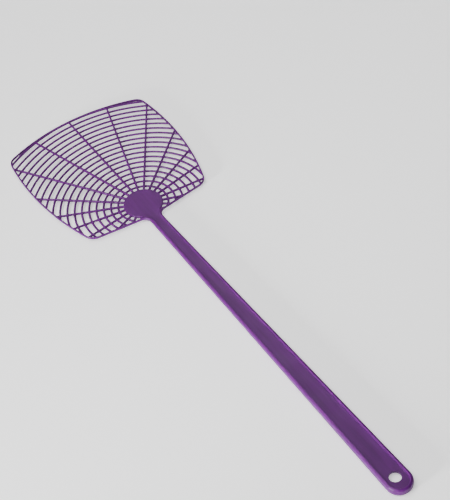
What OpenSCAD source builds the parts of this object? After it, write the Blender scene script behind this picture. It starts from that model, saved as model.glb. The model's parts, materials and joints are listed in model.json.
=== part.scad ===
// Plastic fly swatter: one moulding, a perforated blade on a long channelled handle.
// It lies flat with +Z up and +Y from the hang hole towards the blade, in millimetres.
// The origin is the centre of the hang hole, on the mid plane where the two mould halves meet.
// Every region of the moulding is a solid of its own, and neighbours meet face to face.

/* [Handle] */
// Distance from the hang hole to the centre of the hub disc
hub_y = 310; // [240:1:380]
// Width of the handle across the hang hole
butt_w = 18.9; // [16:0.1:24]
// Width of the handle where it joins the neck
neck_w = 10.7; // [8:0.1:14]
// Distance from the hang hole to the centre of the round butt
butt_offset = 3.5; // [2:0.1:6]
// Thickness of the floor between the rims
floor_t = 2.2; // [1.6:0.1:3]
// Width of the rim that runs round the handle
rim_w = 2.2; // [1.6:0.1:3]
// Full height of the rim at the butt
rim_h = 6; // [4.5:0.1:8]
// Full height of the rim at the neck
rim_h_neck = 3.6; // [3.4:0.1:4.4]

/* [Hang hole] */
// Radius of the hang hole
hole_r = 4.1; // [2.5:0.1:5]

/* [Neck] */
// Distance from the centre of the hub disc down to the axis that the neck bends about
flex_drop = 26; // [24:0.5:34]
// Thickness of the neck at that axis
neck_t = 3.2; // [2.8:0.1:3.4]
// Clearance between the round end of the handle and its seat in the neck
flex_gap = 0.3; // [0.2:0.05:0.5]
// Length of the flat tip of the handle below the bending axis
tip_l = 8; // [5:0.5:12]
// Radius of the fillets between the handle and the lower edges of the blade
fillet_r = 6; // [4:0.5:7]

/* [Blade outline] */
// Distance from the centre of the hub disc to the middle of the top edge
reach = 119; // [112:1:124]
// Radius of the top edge
top_r = 148; // [135:1:170]
// Full width of the blade at its widest
blade_w = 126; // [120:1:132]
// Radius of the side edges
side_r = 235; // [200:5:280]
// Height above the hub of the widest part of the blade
side_y = 68; // [60:1:76]
// Radius of the two top corners
top_corner_r = 9; // [6:0.5:13]
// Radius of the two lower corners
low_corner_r = 10; // [6:0.5:13]
// Distance below the hub disc at which the two lower edges would meet on the centre line
low_gap = 0.6; // [0.3:0.1:2]
// Slope of the lower edges, in degrees
low_slope = 6.8; // [3:0.1:10]
// Width of the outline frame
frame_w = 1.3; // [1:0.1:2.6]
// Thickness of the outline frame
frame_t = 2; // [1.6:0.1:2.6]

/* [Web] */
// Radius of the solid hub disc
hub_r = 15; // [13:0.5:17]
// Distance from the edge of the hub disc to the centre line of the first ring
first_ring_gap = 4; // [3:0.5:6]
// Distance from one ring to the next
ring_pitch = 5.5; // [4.5:0.1:7]
// Width of a ring
ring_w = 1.9; // [1:0.1:2.2]
// Thickness of a ring
ring_t = 1.7; // [1.2:0.1:2]
// Number of spokes, always odd so that one lies on the centre line
spoke_count = 17; // [13:2:17]
// Angle from one spoke to the next
spoke_step = 16; // [14:0.5:16]
// Width of a spoke
spoke_w = 1.8; // [1.3:0.1:2.2]
// Thickness of a spoke
spoke_t = 2; // [1.6:0.1:2.6]

/* [Hidden] */
$fn = 180;

flex_y = hub_y - flex_drop;
taper = (butt_w - neck_w) / 2 / flex_y;
taper_a = atan(taper);
nose_r = neck_t / 2;
seat_r = nose_r + flex_gap;
tip_y = flex_y - tip_l;
butt_c = [0, -butt_offset];
butt_r = (butt_w / 2 + taper * butt_offset) * cos(taper_a);
rim_start_y = butt_c[1] + butt_r * sin(taper_a);

half_spokes = (spoke_count - 1) / 2;
web_a = half_spokes * spoke_step;
bar_reach = 2 * reach;

top_c = [0, reach - top_r];
side_c = [blade_w / 2 - side_r, side_y];
low_dir = [cos(low_slope), sin(low_slope)];
low_in = [-sin(low_slope), cos(low_slope)];
low_p = [0, -hub_r - low_gap];
low_out_a = low_slope - 90;

top_corner_c = circles_meet(top_c, top_r - top_corner_r, side_c, side_r - top_corner_r);
top_a = heading(top_corner_c - top_c);
side_top_a = heading(top_corner_c - side_c);
low_corner_c = line_meets_circle(low_p + low_corner_r * low_in, low_dir, side_c, side_r - low_corner_r);
side_low_a = heading(low_corner_c - side_c);
fillet_c = fillet_centre();
bar_inner_p = fillet_c + fillet_r * low_in;
bar_outer_p = low_corner_c - low_corner_r * low_in;

// The last ring is the largest that still shows in the top corners.
first_ring_r = hub_r + first_ring_gap;
corner_reach = norm(top_corner_c) + top_corner_r - frame_w;
ring_count = floor((corner_reach - ring_w / 2 - first_ring_r) / ring_pitch) + 1;

SPOKES = [for (i = [1:spoke_count]) str("spoke_", two_digits(i))];
RINGS = [for (i = [1:ring_count]) str("ring_", two_digits(i))];

function two_digits(i) = i < 10 ? str("0", i) : str(i);

// Direction of a vector, in degrees.
function heading(v) = atan2(v[1], v[0]);

// Unit vector at an angle.
function unit(a) = [cos(a), sin(a)];

// The right-hand point where two circles cross.
function circles_meet(c0, r0, c1, r1) =
    let (d = norm(c1 - c0), u = (c1 - c0) / d)
    let (along = (r0 * r0 - r1 * r1 + d * d) / (2 * d))
    let (across = sqrt(r0 * r0 - along * along))
    let (p = c0 + along * u + across * [-u[1], u[0]], q = c0 + along * u - across * [-u[1], u[0]])
    p[0] > q[0] ? p : q;

// The point where a line from p along the unit vector d leaves a circle.
function line_meets_circle(p, d, c, r) =
    let (b = (p - c) * d, e = (p - c) * (p - c) - r * r)
    p + (sqrt(b * b - e) - b) * d;

// Half the width of the handle at a place along it.
function handle_half(y) = butt_w / 2 - taper * y;

// Centre of the right-hand fillet, below the lower edge and beside the handle, from the hub.
function fillet_centre() =
    let (p = low_p - fillet_r * low_in, side = handle_half(hub_y) + fillet_r / cos(taper_a))
    let (s = (side - p[0] - taper * p[1]) / (low_dir[0] + taper * low_dir[1]))
    p + s * low_dir;

// Colour of the moulded polypropylene, with a lighter shade for raised parts.
module plastic() color([0.40, 0.23, 0.48]) children();
module raised() color([0.50, 0.30, 0.60]) children();

// A flat shape made solid, centred on the mid plane.
module plate(t) linear_extrude(height = t, center = true) children();

// A solid that runs across the handle, from its side view of points [y, z].
module side_view(points) {
    rotate([90, 0, 90])
        linear_extrude(height = 2 * blade_w, center = true) polygon(points);
}

// Places blade shapes, which are drawn from the centre of the hub disc.
module at_hub() translate([0, hub_y, 0]) children();

// An arc of the frame: its centre, outer radius and end angles.
module frame_arc(c, r, from_a, to_a) {
    translate([c[0], c[1], 0]) rotate([0, 0, from_a]) rotate_extrude(angle = to_a - from_a)
        translate([r - frame_w, -frame_t / 2]) square([frame_w, frame_t]);
}

// What a rounded corner leaves outside its arc, between the arc's two end angles.
module corner_waste(c, r, from_a, to_a) {
    far = 3 * r;
    difference() {
        polygon([c, c + far * unit(from_a), c + 1.5 * far * unit((from_a + to_a) / 2), c + far * unit(to_a)]);
        translate(c) circle(r);
    }
}

// The half plane above the right-hand lower edge of the blade.
module above_low_edge() {
    p = low_p + frame_w * low_in;
    polygon([
        p - bar_reach * low_dir,
        p + bar_reach * low_dir,
        p + bar_reach * (low_dir + low_in),
        p + bar_reach * (low_in - low_dir)
    ]);
}

// The inside of the frame's right half, which runs on past the centre line.
module right_inside() {
    difference() {
        intersection() {
            translate(top_c) circle(top_r - frame_w);
            translate(side_c) circle(side_r - frame_w);
            above_low_edge();
        }
        corner_waste(top_corner_c, top_corner_r - frame_w, side_top_a, top_a);
        corner_waste(low_corner_c, low_corner_r - frame_w, low_out_a, side_low_a);
    }
}

// The whole space inside the frame.
module inside() {
    intersection() {
        right_inside();
        mirror([1, 0]) right_inside();
    }
}

// One spoke's bar, counted from the left.
module spoke_bar(i) {
    rotate(web_a - (i - 1) * spoke_step)
        translate([-spoke_w / 2, 0]) square([spoke_w, bar_reach]);
}

module spoke(i) {
    plastic() at_hub() plate(spoke_t) difference() {
        intersection() {
            spoke_bar(i);
            inside();
        }
        circle(hub_r);
    }
}

// The fan between the two lowest spokes, which the rings fill.
module fan() {
    polygon([
        [0, 0],
        bar_reach * unit(90 - web_a),
        bar_reach * unit(45),
        bar_reach * unit(90),
        bar_reach * unit(135),
        bar_reach * unit(90 + web_a)
    ]);
}

// One ring, in the pieces that the spokes leave between them.
module ring(i) {
    r = first_ring_r + (i - 1) * ring_pitch;
    plastic() at_hub() plate(ring_t) difference() {
        intersection() {
            difference() {
                circle(r + ring_w / 2);
                circle(r - ring_w / 2);
            }
            fan();
            inside();
        }
        for (j = [1:spoke_count]) spoke_bar(j);
    }
}

module hub_disc() plastic() at_hub() plate(floor_t) circle(hub_r);

module frame_top() plastic() at_hub() frame_arc(top_c, top_r, top_a, 180 - top_a);

module frame_side() plastic() at_hub() frame_arc(side_c, side_r, side_low_a, side_top_a);

module corner_top() plastic() at_hub() frame_arc(top_corner_c, top_corner_r, side_top_a, top_a);

module corner_low() plastic() at_hub() frame_arc(low_corner_c, low_corner_r, low_out_a, side_low_a);

// The straight lower edge, from the neck's fillet to the lower corner.
module frame_low() {
    plastic() at_hub() plate(frame_t)
        polygon([bar_inner_p, bar_outer_p, bar_outer_p + frame_w * low_in, bar_inner_p + frame_w * low_in]);
}

// Right half of the neck's outline, from the bending axis up to the lower edge of the blade.
module neck_half() {
    side = handle_half(flex_y);
    inner_p = bar_inner_p + frame_w * low_in;
    difference() {
        polygon([
            [0, -flex_drop],
            [side, -flex_drop],
            fillet_c - fillet_r * unit(taper_a),
            fillet_c,
            bar_inner_p,
            inner_p,
            low_p + frame_w / cos(low_slope) * [0, 1]
        ]);
        translate(fillet_c) circle(fillet_r);
        circle(hub_r);
    }
}

// The blade's end of the neck, which thins towards the hub and seats the handle's round end.
module neck_root() {
    ramp_y = hub_y - hub_r;
    plastic() difference() {
        intersection() {
            at_hub() plate(neck_t) {
                neck_half();
                mirror([1, 0]) neck_half();
            }
            side_view([
                [flex_y, -neck_t / 2],
                [ramp_y, -floor_t / 2],
                [hub_y, -floor_t / 2],
                [hub_y, floor_t / 2],
                [ramp_y, floor_t / 2],
                [flex_y, neck_t / 2]
            ]);
        }
        translate([0, flex_y, 0]) rotate([0, 90, 0]) cylinder(r = seat_r, h = 2 * neck_w, center = true);
    }
}

// The handle's flat tip, with its round end on the bending axis.
module neck_tip() {
    plastic() {
        plate(neck_t) polygon([
            [-handle_half(tip_y), tip_y],
            [handle_half(tip_y), tip_y],
            [handle_half(flex_y), flex_y],
            [-handle_half(flex_y), flex_y]
        ]);
        translate([0, flex_y, 0]) rotate([0, 90, 0])
            cylinder(r = nose_r, h = 2 * handle_half(flex_y), center = true);
    }
}

// The floor between the rims, with the hang hole through it.
module handle_floor() {
    inner_r = butt_r - rim_w;
    side = handle_half(tip_y) - rim_w / cos(taper_a);
    // The sides cross the round end just inside their tangent, which leaves one clean corner.
    p = butt_c + (inner_r - 0.01) * unit(taper_a);
    plastic() difference() {
        union() {
            translate([butt_c[0], butt_c[1], 0]) cylinder(r = inner_r, h = floor_t, center = true);
            plate(floor_t) polygon([[side, tip_y], p, [-p[0], p[1]], [-side, tip_y]]);
        }
        cylinder(r = hole_r, h = 2 * floor_t, center = true);
    }
}

// The right-hand rim, which grows taller from the neck to the butt.
module rim_side() {
    outer_p = butt_c + butt_r * unit(taper_a);
    inner_p = butt_c + (butt_r - rim_w) * unit(taper_a);
    raised() intersection() {
        plate(rim_h) polygon([
            outer_p,
            [handle_half(tip_y), tip_y],
            [handle_half(tip_y) - rim_w / cos(taper_a), tip_y],
            inner_p
        ]);
        side_view([
            [-butt_w, -rim_h / 2],
            [rim_start_y, -rim_h / 2],
            [tip_y, -rim_h_neck / 2],
            [tip_y, rim_h_neck / 2],
            [rim_start_y, rim_h / 2],
            [-butt_w, rim_h / 2]
        ]);
    }
}

// The rim round the butt.
module rim_butt() {
    raised() translate([butt_c[0], butt_c[1], 0]) rotate([0, 0, 180 - taper_a])
        rotate_extrude(angle = 180 + 2 * taper_a)
            translate([butt_r - rim_w, -rim_h / 2]) square([rim_w, rim_h]);
}

handle_floor();
rim_side();  // rim_right
mirror([1, 0, 0]) rim_side();  // rim_left
rim_butt();
neck_tip();
neck_root();
hub_disc();
frame_top();
frame_side();  // frame_right
mirror([1, 0, 0]) frame_side();  // frame_left
corner_top();  // corner_top_right
mirror([1, 0, 0]) corner_top();  // corner_top_left
corner_low();  // corner_low_right
mirror([1, 0, 0]) corner_low();  // corner_low_left
frame_low();  // frame_low_right
mirror([1, 0, 0]) frame_low();  // frame_low_left
for (i = [1:spoke_count]) {
    spoke(i);
}
for (i = [1:ring_count]) {
    ring(i);
}
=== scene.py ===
"""Moulded fly swatter: builds its handle, outline, spokes and rings on the CAD frame, and a stage."""

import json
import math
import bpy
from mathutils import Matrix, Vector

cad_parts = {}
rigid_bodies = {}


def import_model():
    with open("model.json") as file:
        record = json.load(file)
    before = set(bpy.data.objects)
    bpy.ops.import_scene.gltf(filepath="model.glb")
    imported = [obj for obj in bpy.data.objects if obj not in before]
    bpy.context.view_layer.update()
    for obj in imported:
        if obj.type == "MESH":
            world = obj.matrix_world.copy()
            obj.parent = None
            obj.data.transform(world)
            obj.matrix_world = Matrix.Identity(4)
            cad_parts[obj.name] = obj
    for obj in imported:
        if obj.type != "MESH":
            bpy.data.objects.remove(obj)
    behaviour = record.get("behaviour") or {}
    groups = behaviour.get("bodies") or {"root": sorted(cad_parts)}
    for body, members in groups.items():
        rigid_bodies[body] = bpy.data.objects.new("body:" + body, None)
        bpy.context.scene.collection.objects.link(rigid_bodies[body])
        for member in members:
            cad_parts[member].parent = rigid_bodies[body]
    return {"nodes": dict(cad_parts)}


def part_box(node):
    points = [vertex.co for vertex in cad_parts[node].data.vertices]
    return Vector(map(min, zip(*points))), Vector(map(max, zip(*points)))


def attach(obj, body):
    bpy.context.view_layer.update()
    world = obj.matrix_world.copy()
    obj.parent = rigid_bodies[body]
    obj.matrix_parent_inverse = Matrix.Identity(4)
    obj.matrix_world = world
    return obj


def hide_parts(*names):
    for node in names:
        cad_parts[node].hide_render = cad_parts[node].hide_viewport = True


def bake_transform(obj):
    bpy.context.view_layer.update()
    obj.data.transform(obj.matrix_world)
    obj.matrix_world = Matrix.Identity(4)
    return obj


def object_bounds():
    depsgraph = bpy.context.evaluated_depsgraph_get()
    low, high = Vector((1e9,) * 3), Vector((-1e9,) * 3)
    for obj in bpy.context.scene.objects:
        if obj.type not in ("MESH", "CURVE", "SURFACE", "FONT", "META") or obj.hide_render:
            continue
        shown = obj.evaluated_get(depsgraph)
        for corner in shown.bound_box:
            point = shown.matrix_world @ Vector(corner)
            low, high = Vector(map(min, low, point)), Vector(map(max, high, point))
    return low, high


bl_info = {
    "name": "Moulded Fly Swatter",
    "version": (1, 0, 0),
    "blender": (4, 5, 0),
    "location": "3D Viewport > Sidebar > Swatter",
    "description": "Builds a one-piece fly swatter on its CAD frame, with its plastic finish and a stage",
    "category": "Object",
}

import bmesh
import bpy
from bpy.props import FloatProperty, FloatVectorProperty, PointerProperty, StringProperty
from mathutils import Vector

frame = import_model()
CAD_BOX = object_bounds()

MM = 0.001
UP = Vector((0, 0, 1))

# How far apart two places may be and still count as one: a drawn vertex, a computed one, and one on
# the mirror's seam.
EXACT = 1e-7
CLOSE = 1e-6
SEAM = 2e-6


# ---------------------------------------------------------------- places read from the CAD frame


def box_size(node):
    """Width, length and height of a CAD node."""
    low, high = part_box(node)
    return high - low


def box_centre(node):
    """Middle of a CAD node's box."""
    low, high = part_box(node)
    return (low + high) / 2


def nodes_named(start):
    """Names of the CAD nodes that begin with these letters, in order."""
    return sorted(name for name in frame["nodes"] if name.startswith(start))


HUB = Vector((0, box_centre("hub_disc").y, 0))
SPOKES = nodes_named("spoke_")
RINGS = nodes_named("ring_")


# ---------------------------------------------------------------- sizes and colours that can be set


class SwatterHandleSizes(bpy.types.PropertyGroup):
    """Sizes of the handle, its rims and the neck."""

    butt_radius: FloatProperty(
        name="Butt radius",
        description="Radius of the handle's round end, measured to the outside of its rim",
        default=box_size("rim_butt").x / 2,
        unit="LENGTH",
    )
    floor_thickness: FloatProperty(
        name="Floor thickness",
        description="Thickness of the flat floor between the rims, and of the hub disc",
        default=box_size("handle_floor").z,
        unit="LENGTH",
    )
    rim_height: FloatProperty(
        name="Rim height at the butt",
        description="Full height of the rim where it runs round the butt",
        default=box_size("rim_butt").z,
        unit="LENGTH",
    )
    rim_height_neck: FloatProperty(
        name="Rim height at the neck",
        description="Full height of the rim where the neck begins to flatten",
        default=3.6 * MM,
        unit="LENGTH",
    )
    rim_width: FloatProperty(
        name="Rim width",
        description="Width of the rim, from its outer wall to its inner wall",
        default=2.2 * MM,
        unit="LENGTH",
    )
    rim_round: FloatProperty(
        name="Rim outer rounding",
        description="Radius of the rim's wide outer edge, which lies in the hand",
        default=1.7 * MM,
        unit="LENGTH",
    )
    rim_crease: FloatProperty(
        name="Rim inner rounding",
        description="Radius of the rim's crisp inner edge",
        default=0.25 * MM,
        unit="LENGTH",
    )
    rim_foot: FloatProperty(
        name="Rim foot radius",
        description="Radius of the fillet between the rim's inner wall and the floor",
        default=0.5 * MM,
        unit="LENGTH",
    )
    parting_ridge: FloatProperty(
        name="Parting ridge",
        description="How far the fine ridge stands out where the two mould halves meet",
        default=0.1 * MM,
        unit="LENGTH",
    )
    hole_radius: FloatProperty(
        name="Hang hole radius",
        description="Radius of the hang hole through the butt",
        default=4.1 * MM,
        unit="LENGTH",
    )
    hole_round: FloatProperty(
        name="Hang hole rounding",
        description="Radius of the rounded edge round the hang hole",
        default=0.15 * MM,
        unit="LENGTH",
    )
    neck_fillet: FloatProperty(
        name="Neck fillet radius",
        description="Radius of the fillet between the handle and the lower edge of the blade",
        default=6 * MM,
        unit="LENGTH",
    )


class SwatterBladeSizes(bpy.types.PropertyGroup):
    """Sizes of the blade's outline and of the web inside it."""

    hub_radius: FloatProperty(
        name="Hub radius",
        description="Radius of the solid disc that the spokes run out from",
        default=box_size("hub_disc").x / 2,
        unit="LENGTH",
    )
    reach: FloatProperty(
        name="Reach",
        description="Distance from the hub to the middle of the top edge",
        default=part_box("frame_top")[1].y - HUB.y,
        unit="LENGTH",
    )
    half_width: FloatProperty(
        name="Half width",
        description="Distance from the centre line to the widest point of the blade",
        default=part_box("frame_right")[1].x,
        unit="LENGTH",
    )
    top_radius: FloatProperty(
        name="Top edge radius",
        description="Radius of the gently curved top edge",
        default=148 * MM,
        unit="LENGTH",
    )
    side_radius: FloatProperty(
        name="Side radius",
        description="Radius of the gently curved side edges",
        default=235 * MM,
        unit="LENGTH",
    )
    side_height: FloatProperty(
        name="Widest height",
        description="Height above the hub at which the blade is widest",
        default=68 * MM,
        unit="LENGTH",
    )
    top_corner: FloatProperty(
        name="Top corner radius",
        description="Radius of the two top corners",
        default=9 * MM,
        unit="LENGTH",
    )
    low_corner: FloatProperty(
        name="Lower corner radius",
        description="Radius of the two lower corners",
        default=10 * MM,
        unit="LENGTH",
    )
    low_gap: FloatProperty(
        name="Lower edge gap",
        description="Distance below the hub disc at which the two lower edges would meet",
        default=0.6 * MM,
        unit="LENGTH",
    )
    low_slope: FloatProperty(
        name="Lower edge slope",
        description="Angle at which the lower edges rise from the neck to the corners",
        default=math.radians(6.8),
        unit="ROTATION",
    )
    frame_width: FloatProperty(
        name="Outline width",
        description="Width of the bar that runs round the blade",
        default=1.3 * MM,
        unit="LENGTH",
    )
    frame_thickness: FloatProperty(
        name="Outline thickness",
        description="Thickness of the bar that runs round the blade",
        default=box_size("frame_top").z,
        unit="LENGTH",
    )
    spoke_step: FloatProperty(
        name="Spoke angle",
        description="Angle from one spoke to the next",
        default=math.radians(16),
        unit="ROTATION",
    )
    spoke_width: FloatProperty(
        name="Spoke width",
        description="Width of a spoke where it leaves the hub",
        default=1.8 * MM,
        unit="LENGTH",
    )
    spoke_thickness: FloatProperty(
        name="Spoke thickness",
        description="Thickness of a spoke from front to back",
        default=1.9 * MM,
        unit="LENGTH",
    )
    first_ring_gap: FloatProperty(
        name="First ring gap",
        description="Distance from the edge of the hub to the middle of the first ring",
        default=4 * MM,
        unit="LENGTH",
    )
    ring_pitch: FloatProperty(
        name="Ring pitch",
        description="Distance from one ring to the next",
        default=5.5 * MM,
        unit="LENGTH",
    )
    ring_width: FloatProperty(
        name="Ring width",
        description="Width of a ring",
        default=1.9 * MM,
        unit="LENGTH",
    )
    ring_thickness: FloatProperty(
        name="Ring thickness",
        description="Thickness of a ring from front to back",
        default=box_size("ring_01").z,
        unit="LENGTH",
    )


class SwatterFinish(bpy.types.PropertyGroup):
    """Colours and surface of the moulded plastic."""

    body_colour: StringProperty(
        name="Plastic colour",
        description="Main colour of the plastic, as an sRGB hex value",
        default="#581069",
    )
    flow_colour: StringProperty(
        name="Flow streak colour",
        description="Slightly different shade that the plastic shows in its flow streaks",
        default="#4E0C5D",
    )
    worn_colour: StringProperty(
        name="Worn edge colour",
        description="Paler shade of the rubbed plastic along the tops of the rims",
        default="#6B2A80",
    )
    roughness: FloatProperty(
        name="Roughness",
        description="Roughness of the satin surface between the scuffs",
        default=0.4,
        min=0,
        max=1,
    )


class SwatterStage(bpy.types.PropertyGroup):
    """Camera, lights and floor."""

    camera_place: FloatVectorProperty(
        name="Camera place",
        description="Where the camera stands",
        default=(-0.3173, -0.4429, 0.7753),
        subtype="TRANSLATION",
        unit="LENGTH",
    )
    camera_aim: FloatVectorProperty(
        name="Camera aim",
        description="Point in the middle of the picture",
        default=(0.0224, 0.2311, 0),
        subtype="TRANSLATION",
        unit="LENGTH",
    )
    camera_roll: FloatProperty(
        name="Camera roll",
        description="Turn of the camera about its line of sight",
        default=math.radians(-8.36),
        unit="ROTATION",
    )
    lens: FloatProperty(
        name="Lens",
        description="Focal length of the camera in millimetres",
        default=108.0,
    )
    floor_colour: StringProperty(
        name="Floor colour",
        description="Colour of the plain floor, as an sRGB hex value",
        default="#F4F4F5",
    )


# ---------------------------------------------------------------- plan of the blade, seen from above


def along(angle):
    """Unit vector at an angle from +X."""
    return Vector((math.cos(angle), math.sin(angle), 0))


def heading(v):
    """Angle of a vector from +X."""
    return math.atan2(v.y, v.x)


def circles_meet(c0, r0, c1, r1):
    """The right-hand point where two circles cross."""
    between = c1 - c0
    d = between.length
    u = between / d
    a = (r0 * r0 - r1 * r1 + d * d) / (2 * d)
    h = math.sqrt(r0 * r0 - a * a)
    side = Vector((-u.y, u.x, 0))
    return max((c0 + a * u + k * h * side for k in (-1, 1)), key=lambda p: p.x)


def ray_leaves_circle(p, d, c, r):
    """How far a line from p along the unit vector d runs before it leaves a circle, or None."""
    b = (p - c).dot(d)
    inside = b * b - (p - c).length_squared + r * r
    return None if inside < 0 else math.sqrt(inside) - b


class BladePlan:
    """Centres and angles of the arcs that make the blade's outline, on the right-hand side."""

    def __init__(self, blade, handle):
        self.half_bar = blade.frame_width / 2
        self.slope = blade.low_slope
        self.low_dir = along(self.slope)
        self.low_in = along(self.slope + math.pi / 2)
        self.low_start = HUB - (blade.hub_radius + blade.low_gap) * Vector((0, 1, 0))
        self.top_c = HUB + Vector((0, blade.reach - blade.top_radius, 0))
        self.side_c = HUB + Vector((blade.half_width - blade.side_radius, blade.side_height, 0))
        self.top_r, self.side_r = blade.top_radius, blade.side_radius
        self.top_corner_r, self.low_corner_r = blade.top_corner, blade.low_corner
        self.top_corner_c = circles_meet(
            self.top_c, self.top_r - self.top_corner_r, self.side_c, self.side_r - self.top_corner_r
        )
        start = self.low_start + self.low_corner_r * self.low_in
        run = ray_leaves_circle(start, self.low_dir, self.side_c, self.side_r - self.low_corner_r)
        self.low_corner_c = start + run * self.low_dir
        self.bar_end = self.low_corner_c - self.low_corner_r * self.low_in
        # The arcs, from the lower corner to the middle of the top: centre, radius, first and last angle.
        low_a = self.slope - math.pi / 2
        side_low_a = heading(self.low_corner_c - self.side_c)
        side_top_a = heading(self.top_corner_c - self.side_c)
        top_a = heading(self.top_corner_c - self.top_c)
        self.arcs = [
            (self.low_corner_c, self.low_corner_r, low_a, side_low_a),
            (self.side_c, self.side_r, side_low_a, side_top_a),
            (self.top_corner_c, self.top_corner_r, side_top_a, top_a),
            (self.top_c, self.top_r, top_a, math.pi / 2),
        ]
        # The handle's side, which narrows to the neck, and the fillet that joins it to the lower edge.
        self.butt_r = handle.butt_radius
        self.butt_c = Vector((0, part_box("rim_butt")[0].y + self.butt_r, 0))
        tip_low, tip_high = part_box("neck_tip")
        self.tip_y = tip_low.y
        self.hinge_y = (tip_high.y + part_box("neck_root")[0].y) / 2
        neck_half = tip_high.x
        drop = self.tip_y - self.butt_c.y
        self.taper = math.asin(self.butt_r / math.hypot(neck_half, drop)) - math.atan2(neck_half, drop)
        self.fillet_r = handle.neck_fillet
        self.fillet_c = self.find_fillet()

    def half(self, y):
        """Half the width of the handle at a place along it."""
        return self.butt_r / math.cos(self.taper) - (y - self.butt_c.y) * math.tan(self.taper)

    def find_fillet(self):
        """Centre of the fillet, its radius below the lower edge and its radius beside the handle."""
        p = self.low_start - self.fillet_r * self.low_in
        beside = self.half(p.y) + self.fillet_r / math.cos(self.taper)
        run = (beside - p.x) / (self.low_dir.x + math.tan(self.taper) * self.low_dir.y)
        return p + run * self.low_dir

    def reach(self, turn):
        """Distance from the hub to the middle of the outline's bar, at an angle from the top edge."""
        angle_slack = 1e-6
        d = along(math.pi / 2 - abs(turn))
        found = []
        for c, r, first, last in self.arcs:
            run = ray_leaves_circle(HUB, d, c, r - self.half_bar)
            if run and first - angle_slack <= heading(HUB + run * d - c) <= last + angle_slack:
                found.append(run)
        below = -d.dot(self.low_in)
        if below > 0:
            found.append(((HUB - self.low_start).dot(self.low_in) - self.half_bar) / below)
        return min(found)

    def edge_at(self, turn):
        """Point on the middle of the bar at an angle from the top edge, and the bar's outward direction."""
        step = math.radians(0.1)
        turns = (turn - step, turn, turn + step)
        before, here, after = (HUB + self.reach(t) * along(math.pi / 2 - t) for t in turns)
        run = (after - before).normalized()
        return here, Vector((-run.y, run.x, 0))

    def spans(self, radius, limit):
        """Turns from the top edge between which a ring of this radius lies inside the outline."""
        step = math.radians(0.25)
        count = int(limit / step)
        found, start = [], None
        for k in range(count + 1):
            turn = k * step
            free = self.reach(turn) > radius
            if free and start is None:
                start = self.edge_turn(radius, turn - step, turn) if k else 0.0
            if not free and start is not None:
                found.append((start, self.edge_turn(radius, turn, turn - step)))
                start = None
        if start is not None:
            found.append((start, limit))
        return found

    def edge_turn(self, radius, closed, free):
        """The turn at which a ring meets the outline, between a turn outside it and one inside it."""
        halvings = 20
        for _ in range(halvings):
            middle = (closed + free) / 2
            if self.reach(middle) > radius:
                free = middle
            else:
                closed = middle
        return closed


# ---------------------------------------------------------------- working by hand on a mesh


def pick(keep, kind="VERT"):
    """In edit mode, selects the vertices, edges or faces that pass a test, and nothing else."""
    bpy.ops.mesh.select_mode(type=kind)
    bpy.ops.mesh.select_all(action="DESELECT")
    mesh = bpy.context.object.data
    bm = bmesh.from_edit_mesh(mesh)
    for part in {"VERT": bm.verts, "EDGE": bm.edges, "FACE": bm.faces}[kind]:
        if keep(part):
            part.select_set(True)
    bm.select_flush_mode()
    bmesh.update_edit_mesh(mesh)


def new_piece(name):
    """Starts an empty mesh at the origin and goes into edit mode."""
    bpy.ops.object.select_all(action="DESELECT")
    bpy.ops.mesh.primitive_plane_add(size=MM)
    piece = bpy.context.object
    piece.name = piece.data.name = name
    bpy.ops.object.mode_set(mode="EDIT")
    bpy.ops.mesh.select_mode(type="VERT")
    bpy.ops.mesh.select_all(action="SELECT")
    bpy.ops.mesh.delete(type="VERT")
    return piece


def draw(points, closed=False):
    """Draws a line through the points, one extruded vertex at a time, and leaves it all selected."""
    bpy.ops.mesh.select_mode(type="VERT")
    bpy.ops.mesh.select_all(action="DESELECT")
    bpy.ops.mesh.primitive_plane_add(size=MM, location=points[0])
    bpy.ops.mesh.merge(type="CENTER")
    for here, there in zip(points, points[1:]):
        bpy.ops.mesh.extrude_region_move(TRANSFORM_OT_translate={"value": there - here})
    bpy.ops.mesh.select_linked()
    if closed:
        ends = (points[0], points[-1])
        pick(lambda v: min((v.co - p).length for p in ends) < EXACT)
        bpy.ops.mesh.edge_face_add()
        bpy.ops.mesh.select_linked()


def sweep(centre, turn, chord=1.2 * MM, radius=None):
    """Spins the selected section about a vertical axis, anticlockwise if turn is positive."""
    fewest = 4
    widest = math.radians(6)
    usual_radius = 10 * MM
    length = abs(turn) * (radius or usual_radius)
    steps = max(fewest, math.ceil(length / chord), math.ceil(abs(turn) / widest))
    bpy.ops.mesh.spin(steps=steps, angle=-turn, center=centre, axis=UP)


def join_sections(first, second):
    """Bridges two open sections of as many points each."""
    spots = [*first, *second]
    pick(lambda v: min((v.co - p).length for p in spots) < SEAM)
    bpy.ops.mesh.bridge_edge_loops()


def loft(sections):
    """Draws every section after the first, and bridges each to the one before it."""
    for before, after in zip(sections, sections[1:]):
        draw(after)
        join_sections(before, after)


def apply_modifier(piece, kind, **settings):
    """Adds a modifier with its settings and applies it."""
    modifier = piece.modifiers.new(kind.title(), kind)
    for key, value in settings.items():
        setattr(modifier, key, value)
    bpy.ops.object.modifier_apply(modifier=modifier.name)


def close_up():
    """Merges doubles, fills open ends and turns every face outwards."""
    bpy.ops.mesh.select_mode(type="VERT")
    bpy.ops.mesh.select_all(action="SELECT")
    bpy.ops.mesh.remove_doubles(threshold=CLOSE)
    bpy.ops.mesh.select_all(action="SELECT")
    bpy.ops.mesh.fill_holes(sides=0)
    bpy.ops.mesh.select_all(action="SELECT")
    bpy.ops.mesh.normals_make_consistent(inside=False)


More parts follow.
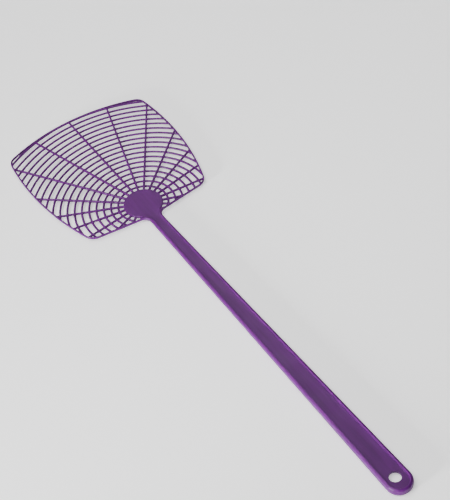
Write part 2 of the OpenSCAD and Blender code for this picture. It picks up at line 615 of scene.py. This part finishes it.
def finish_piece(piece, sharp=40):
    """Leaves edit mode, applies the place, smooths the shading and gives the plastic finish."""
    if piece.mode == "EDIT":
        bpy.ops.object.mode_set(mode="OBJECT")
    bpy.ops.object.select_all(action="DESELECT")
    piece.select_set(True)
    bpy.context.view_layer.objects.active = piece
    bpy.ops.object.transform_apply(location=True, rotation=True, scale=True)
    bpy.ops.object.shade_smooth_by_angle(angle=math.radians(sharp))
    apply_modifier(piece, "WEIGHTED_NORMAL", keep_sharp=True, weight=80)
    piece.data.materials.clear()
    piece.data.materials.append(bpy.data.materials["moulded_polypropylene"])


def arc_points(centre, radius, first, last, count, rise=None):
    """Points (inward, up) on an arc of a section, between angles in degrees. A rise makes it oval."""
    x, z = centre
    angles = (math.radians(first + (last - first) * k / (count - 1)) for k in range(count))
    return [(x + radius * math.cos(a), z + (rise or radius) * math.sin(a)) for a in angles]


def place_section(points, base, inward):
    """Stands (inward, up) points on the outline at base."""
    return [base + d * inward + z * UP for d, z in points]


def rim_section(half_height, width, rounding, crease, foot, floor, ridge, draft=0.1 * MM):
    """Upper half of the rim, from its parting ridge over the rounded top and down to the floor."""
    # The crease and the foot share the inner wall. The ridge keeps its place under the outer rounding.
    inner_wall = half_height - floor
    ridge_room = 0.35 * MM
    inner = min(crease, inner_wall * 0.55)
    foot = min(foot, inner_wall * 0.4)
    rise = min(rounding, half_height - ridge_room)
    ridge_slope = (-0.3 * ridge, 1.6 * ridge + 0.01 * MM)
    ridge_end = (0, 2.6 * ridge + 0.02 * MM)
    return [
        (-ridge, 0),
        ridge_slope,
        ridge_end,
        *arc_points((draft + rounding, half_height - rise), rounding, 180, 90, 8, rise),
        *arc_points((width - draft - inner, half_height - inner), inner, 90, 0, 6),
        *arc_points((width + foot, floor + foot), foot, 180, 270, 4),
    ]


# ---------------------------------------------------------------- operators, one for each piece or group


class SWATTER_OT_handle(bpy.types.Operator):
    """Model the handle, neck and hub disc as one seamless moulding, cut across at the neck"""

    bl_idname = "swatter.handle"
    bl_label = "Handle Moulding"

    # The cross cuts reach this far to either side of the hinge. No bend is made; the bend's reach only sets a
    # start that nothing uses.
    bend_reach = 6.5 * MM
    cuts_reach = 8 * MM
    cuts_pitch = 0.8 * MM
    # Radius of the fillet inside the rim where the neck begins.
    foot_at_neck = 0.3 * MM

    def execute(self, context):
        sizes, blade = context.scene.swatter_handle, context.scene.swatter_blade
        plan = BladePlan(blade, sizes)
        floor = sizes.floor_thickness / 2
        ridge = sizes.parting_ridge
        piece = new_piece("handle_moulding")

        # Upper right quarter. The rim's section goes round the butt, up the side and into the fillet.
        inward = -along(plan.taper)
        crease = sizes.rim_crease
        full = rim_section(
            sizes.rim_height / 2, sizes.rim_width, sizes.rim_round, crease, sizes.rim_foot, floor, ridge
        )
        at_butt = place_section(full, plan.butt_c - plan.butt_r * inward, inward)
        draw(at_butt)
        sweep(plan.butt_c, -math.pi / 2 - plan.taper)

        low = rim_section(
            sizes.rim_height_neck / 2,
            sizes.rim_width,
            sizes.rim_round,
            crease,
            self.foot_at_neck,
            floor,
            ridge,
        )
        at_tip = place_section(low, Vector((plan.half(plan.tip_y), plan.tip_y, 0)), inward)
        fillet = self.fillet_sections(plan, crease, floor, ridge)
        loft([at_butt, at_tip, *fillet])

        # The hub disc's edge, from inside the lower bar round to the top.
        start = plan.low_start + plan.half_bar * plan.low_in
        run = ray_leaves_circle(start, plan.low_dir, HUB, blade.hub_radius)
        disc_a = heading(start + run * plan.low_dir - HUB)
        disc_top = floor + 0.04 * MM
        edge_width = 1.1 * MM
        edge_round = 0.5 * MM
        edge_foot = 0.1 * MM
        rounded = rim_section(disc_top, edge_width, edge_round, crease, edge_foot, floor, ridge / 2)
        at_disc = place_section(rounded, HUB + blade.hub_radius * along(disc_a), -along(disc_a))
        draw(at_disc)
        sweep(HUB, math.pi / 2 - disc_a)
        join_sections(fillet[-1], at_disc)

        # The flat floor fills what the sections enclose, up to the centre line.
        on_floor = lambda v: abs(v.co.z - floor) < EXACT and len(v.link_edges) > 1 and v.is_boundary
        pick(lambda v: on_floor(v) and abs(v.co.x) < CLOSE)
        bpy.ops.mesh.edge_face_add()
        pick(lambda e: e.is_boundary and all(on_floor(v) for v in e.verts) or e.is_wire, "EDGE")
        bpy.ops.mesh.edge_face_add()

        bpy.ops.object.mode_set(mode="OBJECT")
        apply_modifier(piece, "MIRROR", use_axis=(True, False, True), merge_threshold=SEAM)
        bpy.ops.object.mode_set(mode="EDIT")
        close_up()
        bpy.ops.object.mode_set(mode="OBJECT")
        self.cut_hang_hole(piece, sizes.hole_radius, sizes.hole_round, floor)
        self.add_cross_cuts(plan.hinge_y - self.cuts_reach, plan.hinge_y + self.cuts_reach, self.cuts_pitch)

        finish_piece(piece)
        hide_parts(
            "hub_disc", "neck_root", "neck_tip", "handle_floor", "rim_left", "rim_right", "rim_butt"
        )
        start = (0, plan.hinge_y - self.bend_reach, 0)
        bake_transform(piece)
        return {"FINISHED"}

    def fillet_sections(self, plan, crease, floor, ridge, count=11):
        """The rim as it runs round the neck's fillet and sinks into the lower edge of the blade."""
        first, last = math.pi + plan.taper, math.pi / 2 + plan.slope
        made = []
        for k in range(count):
            t = k / (count - 1)
            out = along(first + t * (last - first))
            top = floor + (0.5 - 0.42 * t) * MM
            width = (1.9 - 0.7 * t) * MM
            rounding = (1.4 - 0.8 * t) * MM
            foot = 0.25 * MM
            section = rim_section(top, width, rounding, crease, foot, floor, ridge * (1 - t))
            made.append(place_section(section, plan.fillet_c + plan.fillet_r * out, out))
        return made

    def cut_hang_hole(self, piece, radius, rounding, floor):
        """Cuts the hang hole through the butt and rounds both of its edges."""
        bpy.ops.object.select_all(action="DESELECT")
        bpy.ops.mesh.primitive_cylinder_add(vertices=64, radius=radius, depth=10 * MM)
        cutter = bpy.context.object
        bpy.context.view_layer.objects.active = piece
        apply_modifier(piece, "BOOLEAN", operation="DIFFERENCE", object=cutter, solver="EXACT")
        bpy.data.objects.remove(cutter)
        piece.select_set(True)
        bpy.ops.object.mode_set(mode="EDIT")
        round_hole = lambda v: abs(v.co.xy.length - radius) < CLOSE and abs(abs(v.co.z) - floor) < CLOSE
        pick(lambda e: all(round_hole(v) for v in e.verts), "EDGE")
        bpy.ops.mesh.bevel(offset=rounding, segments=4, affect="EDGES")

    def add_cross_cuts(self, first, last, pitch):
        """Cuts the neck across every so often, so that it can bend smoothly."""
        count = round((last - first) / pitch)
        for k in range(count + 1):
            bpy.ops.mesh.select_all(action="SELECT")
            y = first + (last - first) * k / count
            bpy.ops.mesh.bisect(plane_co=(0, y, 0), plane_no=(0, 1, 0))


class SWATTER_OT_outline(bpy.types.Operator):
    """Model the rounded bar that runs round the blade"""

    bl_idname = "swatter.outline"
    bl_label = "Blade Outline"

    def execute(self, context):
        sizes = context.scene.swatter_blade
        plan = BladePlan(sizes, context.scene.swatter_handle)
        piece = new_piece("blade_outline")
        inset = 6 * MM
        start = plan.low_start + inset * plan.low_dir
        section = self.section(sizes.frame_width, sizes.frame_thickness)
        draw(place_section(section, start, plan.low_in), closed=True)
        bpy.ops.mesh.extrude_region_move(TRANSFORM_OT_translate={"value": plan.bar_end - start})
        for centre, radius, first, last in plan.arcs:
            sweep(centre, last - first, chord=2.5 * MM, radius=radius)
        bpy.ops.object.mode_set(mode="OBJECT")
        apply_modifier(piece, "MIRROR", use_axis=(True, False, False), merge_threshold=SEAM)
        bpy.ops.object.mode_set(mode="EDIT")
        close_up()
        finish_piece(piece)
        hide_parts(*nodes_named("frame_"), *nodes_named("corner_"))
        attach(piece, "blade")
        return {"FINISHED"}

    def section(self, width, thickness):
        """The bar's section, a little narrower at its rounded faces than at the parting line."""
        r = min(0.62 * MM, 0.45 * width)
        half = thickness / 2
        half_band = 0.1 * MM
        upper = [
            (0, half_band),
            *arc_points((r, half - r), r, 172, 90, 5),
            *arc_points((width - r, half - r), r, 90, 8, 5),
            (width, half_band),
        ]
        return upper + [(d, -z) for d, z in reversed(upper)]


class SWATTER_OT_spokes(bpy.types.Operator):
    """Model the spokes, each with its own length, from the hub disc out to the outline"""

    bl_idname = "swatter.spokes"
    bl_label = "Spokes"

    def execute(self, context):
        sizes = context.scene.swatter_blade
        plan = BladePlan(sizes, context.scene.swatter_handle)
        middle = (len(SPOKES) - 1) / 2
        for k, name in enumerate(SPOKES):
            turn = (k - middle) * sizes.spoke_step
            self.add_spoke(name, turn, plan.reach(turn), sizes)
        return {"FINISHED"}

    def add_spoke(self, name, turn, reach, sizes):
        """One bar with rounded faces that narrows as it runs out, turned into place about the hub."""
        into_hub = 1.5 * MM
        rounding = 0.6 * MM
        narrowing = (0.86, 1, 0.94)
        first = sizes.hub_radius - into_hub
        length = reach - first
        bpy.ops.object.select_all(action="DESELECT")
        bpy.ops.mesh.primitive_cube_add(size=1, location=HUB + Vector((0, first + length / 2, 0)))
        piece = bpy.context.object
        piece.name = piece.data.name = f"moulded_{name}"
        piece.scale = (sizes.spoke_width, length, sizes.spoke_thickness)
        bpy.ops.object.transform_apply(location=True, rotation=True, scale=True)
        bpy.ops.object.mode_set(mode="EDIT")
        pick(lambda v: v.co.y > HUB.y + first + length / 2)
        end = HUB + Vector((0, reach, 0))
        bpy.ops.transform.resize(value=narrowing, center_override=end)
        pick(lambda e: abs((e.verts[0].co - e.verts[1].co).y) > length / 2, "EDGE")
        bpy.ops.mesh.bevel(offset=rounding, segments=4, affect="EDGES")
        bpy.ops.mesh.select_all(action="SELECT")
        bpy.ops.transform.rotate(value=turn, orient_axis="Z", center_override=HUB)
        finish_piece(piece)
        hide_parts(name)
        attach(piece, "blade")


class SWATTER_OT_rings(bpy.types.Operator):
    """Model the rings, each swept about the hub and cut off along the middle of the outline's bar"""

    bl_idname = "swatter.rings"
    bl_label = "Rings"

    def execute(self, context):
        sizes = context.scene.swatter_blade
        plan = BladePlan(sizes, context.scene.swatter_handle)
        limit = (len(SPOKES) - 1) / 2 * sizes.spoke_step
        for k, name in enumerate(RINGS):
            radius = sizes.hub_radius + sizes.first_ring_gap + k * sizes.ring_pitch
            self.add_ring(name, radius, plan, limit, sizes)
        return {"FINISHED"}

    def add_ring(self, name, radius, plan, limit, sizes):
        """One ring. A span that starts on the centre line runs across it to the other side."""
        piece = new_piece(f"moulded_{name}")
        for first, last in plan.spans(radius, limit):
            if first == 0:
                self.add_arc(radius, -last, last, plan, sizes)
            else:
                self.add_arc(radius, first, last, plan, sizes)
                self.add_arc(radius, -last, -first, plan, sizes)
        close_up()
        finish_piece(piece)
        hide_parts(name)
        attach(piece, "blade")

    def add_arc(self, radius, first, last, plan, sizes):
        """Sweeps an oval section clockwise between two turns. An end at the outline is cut along its bar."""
        near = 0.01 * MM
        overshoot = 6 * MM
        points = 12
        ends = [turn for turn in (first, last) if abs(plan.reach(turn) - radius) < near]
        spare = overshoot / radius
        start = first - spare if first in ends else first
        stop = last + spare if last in ends else last
        out = along(math.pi / 2 - start)
        half, half_thick = sizes.ring_width / 2, sizes.ring_thickness / 2
        oval = [(half * math.cos(a), half_thick * math.sin(a)) for a in self.round_angles(points)]
        draw(place_section(oval, HUB + radius * out, out), closed=True)
        sweep(HUB, start - stop, chord=2 * MM, radius=radius)
        for turn in ends:
            place, outward = plan.edge_at(turn)
            bpy.ops.mesh.select_linked()
            bpy.ops.mesh.bisect(plane_co=place, plane_no=outward, use_fill=True, clear_outer=True)

    def round_angles(self, count):
        """Even angles round a full circle."""
        return [2 * math.pi * k / count for k in range(count)]


def linear(hex_colour):
    """A linear colour with full opacity, from an sRGB hex value."""
    channels = [int(hex_colour.lstrip("#")[k : k + 2], 16) / 255 for k in (0, 2, 4)]
    return (*(c / 12.92 if c <= 0.04045 else ((c + 0.055) / 1.055) ** 2.4 for c in channels), 1)


def add_node(tree, kind, inputs=None, **settings):
    """Adds a node with its settings. Inputs are values, or the sockets that they are linked from."""
    made = tree.nodes.new(kind)
    for key, value in settings.items():
        setattr(made, key, value)
    for key, value in (inputs or {}).items():
        if isinstance(value, bpy.types.NodeSocket):
            tree.links.new(value, made.inputs[key])
        else:
            made.inputs[key].default_value = value
    return made


class SWATTER_OT_finish(bpy.types.Operator):
    """Make the satin moulded polypropylene that the whole swatter is made of"""

    bl_idname = "swatter.finish"
    bl_label = "Moulded Plastic"

    def execute(self, context):
        # Polypropylene, moulded in a lightly etched tool: an even satin surface with soft, wide highlights,
        # faint streaks where the melt flowed up the handle, and rims rubbed paler by handling.
        look = context.scene.swatter_finish
        material = bpy.data.materials.new("moulded_polypropylene")
        material.use_nodes = True
        tree = material.node_tree
        tree.nodes.clear()
        place = add_node(tree, "ShaderNodeTexCoord").outputs["Object"]
        body, flow, worn = linear(look.body_colour), linear(look.flow_colour), linear(look.worn_colour)

        # Flow streaks: about 3 mm across and ten times as long, running the length of the handle.
        lengthwise = add_node(tree, "ShaderNodeMapping", {"Vector": place, "Scale": (1, 0.1, 1)})
        streaks = add_node(
            tree, "ShaderNodeTexNoise", {"Vector": lengthwise.outputs[0], "Scale": 1 / (3 * MM), "Detail": 2}
        )
        flowing = add_node(
            tree, "ShaderNodeMapRange", {"Value": streaks.outputs["Fac"], "From Min": 0.35, "From Max": 0.7}
        )
        streaked = add_node(
            tree,
            "ShaderNodeMix",
            {"Factor": flowing.outputs["Result"], 6: body, 7: flow},
            data_type="RGBA",
        )

        # Rubbed rims: only where the surface stands far from the mid plane, broken up at about 1.5 mm.
        height = add_node(tree, "ShaderNodeSeparateXYZ", {"Vector": place})
        away = add_node(tree, "ShaderNodeMath", {0: height.outputs["Z"]}, operation="ABSOLUTE")
        high = add_node(
            tree, "ShaderNodeMapRange", {"Value": away.outputs[0], "From Min": 1.9 * MM, "From Max": 2.9 * MM}
        )
        handled = add_node(
            tree, "ShaderNodeTexNoise", {"Vector": place, "Scale": 1 / (1.5 * MM), "Detail": 4}
        )
        patchy = add_node(
            tree,
            "ShaderNodeMapRange",
            {"Value": handled.outputs["Fac"], "From Min": 0.42, "From Max": 0.62, "To Max": 0.15},
        )
        rubbed = add_node(
            tree,
            "ShaderNodeMath",
            {0: high.outputs["Result"], 1: patchy.outputs["Result"]},
            operation="MULTIPLY",
        )
        coloured = add_node(
            tree,
            "ShaderNodeMix",
            {"Factor": rubbed.outputs[0], 6: streaked.outputs[2], 7: worn},
            data_type="RGBA",
        )

        # Gloss: it varies a little over about 14 mm, and scuffs dull it, 0.5 mm wide and ten times as long.
        clouds = add_node(tree, "ShaderNodeTexNoise", {"Vector": place, "Scale": 1 / (14 * MM), "Detail": 2})
        satin = add_node(
            tree,
            "ShaderNodeMapRange",
            {
                "Value": clouds.outputs["Fac"],
                "From Min": 0.3,
                "From Max": 0.7,
                "To Min": look.roughness - 0.03,
                "To Max": look.roughness + 0.05,
            },
        )
        slanted = add_node(tree, "ShaderNodeMapping", {"Vector": place, "Scale": (1, 0.1, 0.3)})
        scuffs = add_node(
            tree, "ShaderNodeTexNoise", {"Vector": slanted.outputs[0], "Scale": 1 / (0.5 * MM), "Detail": 3}
        )
        dulled = add_node(
            tree,
            "ShaderNodeMapRange",
            {"Value": scuffs.outputs["Fac"], "From Min": 0.62, "From Max": 0.72, "To Max": 0.1},
        )
        rough = add_node(
            tree,
            "ShaderNodeMath",
            {0: satin.outputs["Result"], 1: dulled.outputs["Result"]},
            operation="ADD",
        )

        # The tool's etched grain is nearly 0.1 mm, drawn at 0.45 mm so that it shows, over sink marks.
        grain = add_node(tree, "ShaderNodeTexNoise", {"Vector": place, "Scale": 1 / (0.45 * MM), "Detail": 2})
        sink = add_node(tree, "ShaderNodeTexNoise", {"Vector": place, "Scale": 1 / (7 * MM), "Detail": 1})
        fine = add_node(
            tree,
            "ShaderNodeBump",
            {"Height": grain.outputs["Fac"], "Strength": 0.18, "Distance": 0.03 * MM},
        )
        bumped = add_node(
            tree,
            "ShaderNodeBump",
            {
                "Height": sink.outputs["Fac"],
                "Strength": 0.35,
                "Distance": 0.2 * MM,
                "Normal": fine.outputs["Normal"],
            },
        )

        shader = add_node(
            tree,
            "ShaderNodeBsdfPrincipled",
            {
                "Base Color": coloured.outputs[2],
                "Roughness": rough.outputs[0],
                "IOR": 1.49,
                "Specular IOR Level": 0.3,
                "Normal": bumped.outputs["Normal"],
                "Subsurface Weight": 0.08,
                "Subsurface Radius": (1.0, 0.4, 1.3),
                "Subsurface Scale": 0.6 * MM,
            },
        )
        add_node(tree, "ShaderNodeOutputMaterial", {"Surface": shader.outputs["BSDF"]})
        return {"FINISHED"}


class SWATTER_OT_stage(bpy.types.Operator):
    """Set the camera, the soft lights and the plain pale floor"""

    bl_idname = "swatter.stage"
    bl_label = "Stage"

    def execute(self, context):
        stage = context.scene.swatter_stage
        self.add_floor(linear(stage.floor_colour))
        self.add_world(strength=0.12)
        side, back, top = (-1.1, -0.05, 0.14), (0.3, 1.0, 1.2), (-0.5, 0.25, 1.1)
        self.add_panel("side_panel", side, aim=(0, 0.15, 0), size=0.25, power=3, beam=math.radians(50))
        self.add_panel("back_panel", back, aim=(0, 0.35, 0), size=0.7, power=5.5)
        self.add_panel("top_panel", top, aim=(0, 0.3, 0), size=0.8, power=12.5)
        self.add_camera(stage)
        return {"FINISHED"}

    def add_floor(self, colour):
        """A wide matt floor just under the rims, which glows a little so that it stays pale in shadow."""
        gap = 0.05 * MM
        bpy.ops.object.select_all(action="DESELECT")
        bpy.ops.mesh.primitive_plane_add(size=8, location=(0, 0.2, CAD_BOX[0].z - gap))
        floor = bpy.context.object
        floor.name = "floor"
        material = bpy.data.materials.new("matt_floor")
        material.use_nodes = True
        shader = material.node_tree.nodes["Principled BSDF"]
        shader.inputs["Base Color"].default_value = colour
        shader.inputs["Roughness"].default_value = 0.9
        shader.inputs["Emission Color"].default_value = (1, 1, 1, 1)
        shader.inputs["Emission Strength"].default_value = 0.7
        floor.data.materials.append(material)

    def add_world(self, strength):
        """Even white light from all round."""
        world = bpy.data.worlds.new("soft_studio")
        world.use_nodes = True
        background = world.node_tree.nodes["Background"]
        background.inputs["Color"].default_value = (1, 1, 1, 1)
        background.inputs["Strength"].default_value = strength
        bpy.context.scene.world = world

    def add_panel(self, name, place, aim, size, power, beam=math.pi):
        """A square soft light that points at a spot and fans out over the beam's angle."""
        bpy.ops.object.light_add(type="AREA", location=place)
        light = bpy.context.object
        light.name = name
        light.data.size = size
        light.data.energy = power
        light.data.spread = beam
        light.rotation_euler = (Vector(aim) - Vector(place)).to_track_quat("-Z", "Y").to_euler()

    def add_camera(self, stage):
        """A long lens that looks down on the swatter from beside the butt."""
        place, aim = Vector(stage.camera_place), Vector(stage.camera_aim)
        bpy.ops.object.camera_add(location=place)
        camera = bpy.context.object
        look = (aim - place).to_track_quat("-Z", "Y")
        camera.rotation_euler = look.to_euler()
        camera.rotation_euler.rotate_axis("Z", stage.camera_roll)
        camera.data.lens = stage.lens
        camera.data.sensor_width = 36
        bpy.context.scene.camera = camera


class SWATTER_PT_panel(bpy.types.Panel):
    """Lists the swatter's pieces and their sizes"""

    bl_idname = "SWATTER_PT_panel"
    bl_label = "Fly Swatter"
    bl_space_type = "VIEW_3D"
    bl_region_type = "UI"
    bl_category = "Swatter"

    def draw(self, context):
        for operator in OPERATORS:
            self.layout.operator(operator.bl_idname)
        for title, group in GROUPS.items():
            box = self.layout.box()
            box.label(text=title.replace("_", " ").title())
            settings = getattr(context.scene, title)
            for key in group.__annotations__:
                box.prop(settings, key)


GROUPS = {
    "swatter_handle": SwatterHandleSizes,
    "swatter_blade": SwatterBladeSizes,
    "swatter_finish": SwatterFinish,
    "swatter_stage": SwatterStage,
}
OPERATORS = (
    SWATTER_OT_finish,
    SWATTER_OT_handle,
    SWATTER_OT_outline,
    SWATTER_OT_spokes,
    SWATTER_OT_rings,
    SWATTER_OT_stage,
)


def register():
    for cls in (*GROUPS.values(), *OPERATORS, SWATTER_PT_panel):
        bpy.utils.register_class(cls)
    for name, group in GROUPS.items():
        setattr(bpy.types.Scene, name, PointerProperty(type=group))


def unregister():
    for name in GROUPS:
        delattr(bpy.types.Scene, name)
    for cls in reversed((*GROUPS.values(), *OPERATORS, SWATTER_PT_panel)):
        bpy.utils.unregister_class(cls)


def main():
    register()
    bpy.ops.swatter.finish()
    bpy.ops.swatter.handle()
    bpy.ops.swatter.outline()
    bpy.ops.swatter.spokes()
    bpy.ops.swatter.rings()
    bpy.ops.swatter.stage()


if __name__ == "__main__":
    main()
